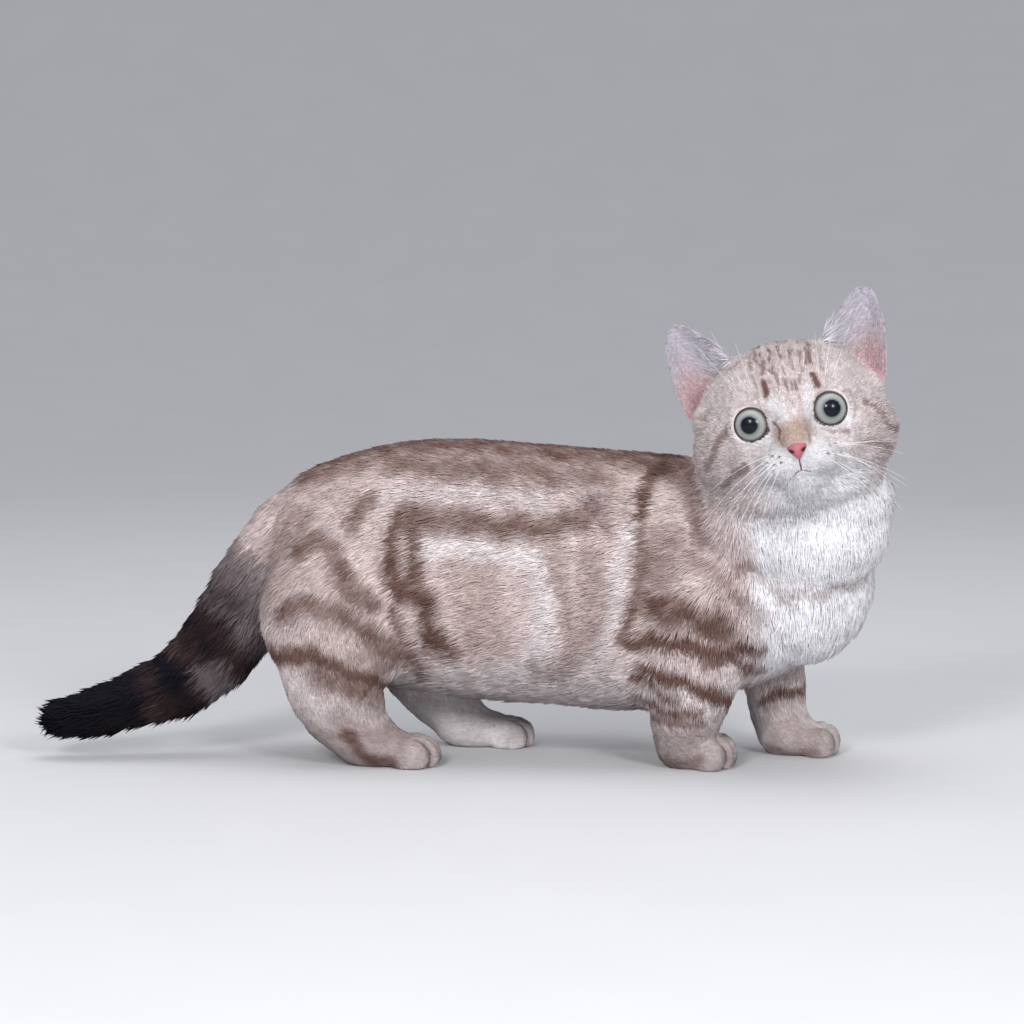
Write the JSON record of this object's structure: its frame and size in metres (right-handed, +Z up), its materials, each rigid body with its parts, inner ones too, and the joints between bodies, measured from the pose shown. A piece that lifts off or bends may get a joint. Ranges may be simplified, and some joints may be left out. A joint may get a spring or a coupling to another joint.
{
  "type": "munchkin cat",
  "caption": "Munchkin kitten standing on its short legs with the head turned to the viewer, as a still life-size model.",
  "frame": {"origin": "on the floor, below the middle of the whole animal's box", "axes": "+X the way the body points, with the tail towards -X; the face looks along -Y; +Z up"},
  "size_m": [0.3753, 0.1472, 0.2134],
  "materials": {
    "fawn_coat": "short plush fawn tabby fur over flesh",
    "cream_coat": "short cream fur over flesh",
    "dark_coat": "dark tabby tail fur over flesh",
    "eye_gloss": "wet eyeball with a pale green iris",
    "nose_leather": "pink bare nose skin"
  },
  "bodies": {
    "root": {"abdomen": "fawn_coat", "chest": "fawn_coat", "rump": "fawn_coat", "neck": "cream_coat", "head": "fawn_coat", "ear_left": "fawn_coat", "ear_right": "fawn_coat", "eye_left": "eye_gloss", "eye_right": "eye_gloss", "nose": "nose_leather", "foreleg_left": "fawn_coat", "foreleg_right": "fawn_coat", "forepaw_left": "cream_coat", "forepaw_right": "fawn_coat", "thigh_left": "fawn_coat", "thigh_right": "fawn_coat", "shank_left": "fawn_coat", "shank_right": "fawn_coat", "hind_foot_left": "cream_coat", "hind_foot_right": "fawn_coat", "tail_base": "fawn_coat", "tail_middle": "dark_coat", "tail_tip": "dark_coat"}
  },
  "joints": []
}
